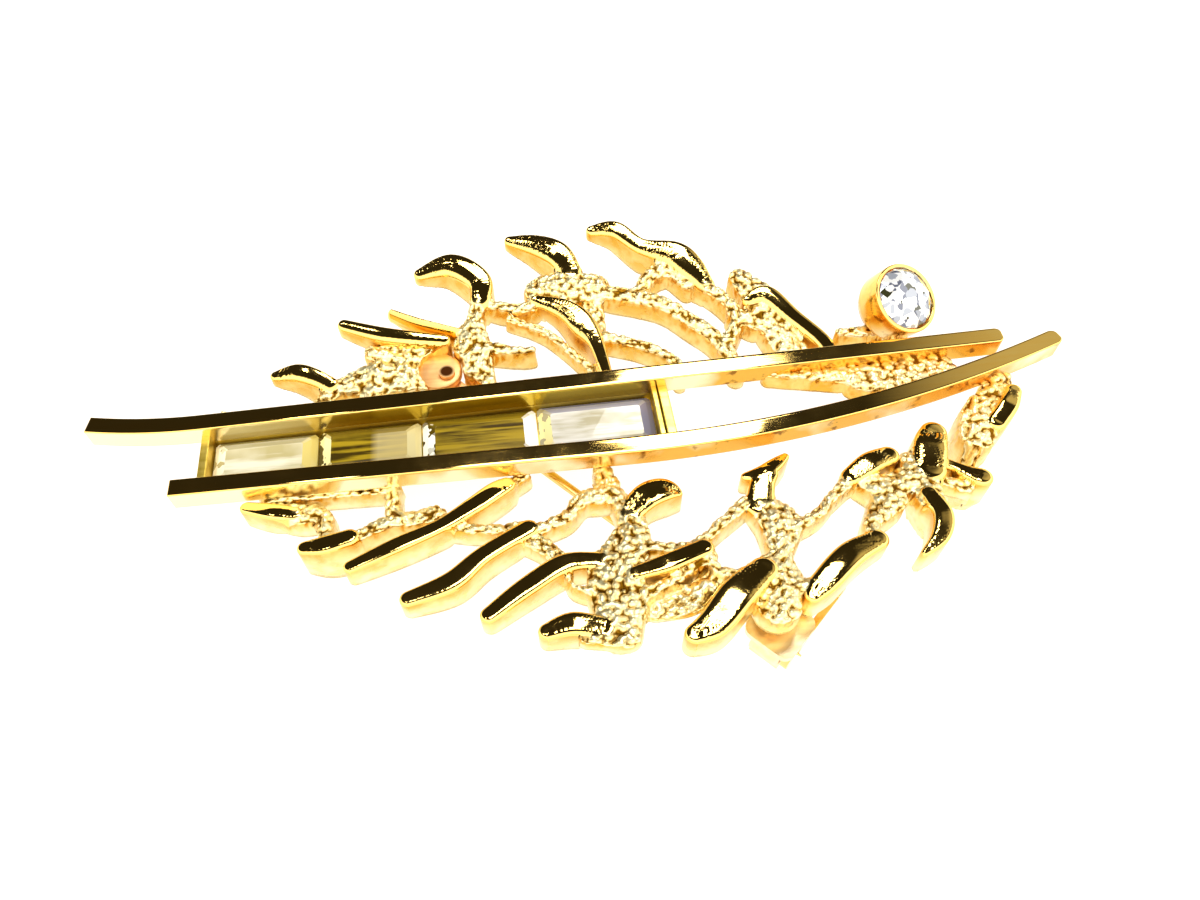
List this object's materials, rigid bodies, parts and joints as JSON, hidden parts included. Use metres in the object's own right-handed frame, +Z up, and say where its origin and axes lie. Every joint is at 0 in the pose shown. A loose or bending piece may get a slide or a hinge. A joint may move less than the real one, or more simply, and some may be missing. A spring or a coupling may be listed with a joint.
{
  "type": "leaf brooch",
  "caption": "Gold-tone leaf brooch with polished and nugget-textured ribs, a channel of step-cut stones, a round stone in a tilted cup, a hinged pin and a turning catch.",
  "frame": {"origin": "middle of the brooch's outline, on the surface that it lies on", "axes": "+X towards the tip of the leaf, where the round stone is, +Y towards the half with the hinge, +Z up through the face"},
  "size_m": [0.072, 0.0373, 0.0085],
  "materials": {
    "gold": "polished ribs, nugget-textured webs",
    "pale_gold": "bright",
    "clear_glass": "cut and foiled",
    "golden_glass": "cut and foiled"
  },
  "bodies": {
    "frame": {"leaf_frame": "gold", "baguette_1": "clear_glass", "baguette_2": "golden_glass", "baguette_3": "golden_glass", "baguette_4": "clear_glass", "round_stone": "clear_glass", "hinge_bracket": "pale_gold", "hinge_rivet": "pale_gold", "catch_housing": "pale_gold"},
    "pin": {"pin_stem": "pale_gold"},
    "catch": {"catch_rotor": "pale_gold"}
  },
  "joints": [
    {"name": "pin_swing", "type": "hinge", "parent": "frame", "child": "pin", "pos_m": [-0.0106, 0.0054, 0.0015], "axis": [0.725, 0.6887, 0], "range_deg": [0, 75]},
    {"name": "catch_turn", "type": "hinge", "parent": "frame", "child": "catch", "pos_m": [0.01013, -0.01642, 0.0015], "axis": [-0.6887, 0.725, 0], "range_deg": [0, 90]}
  ]
}
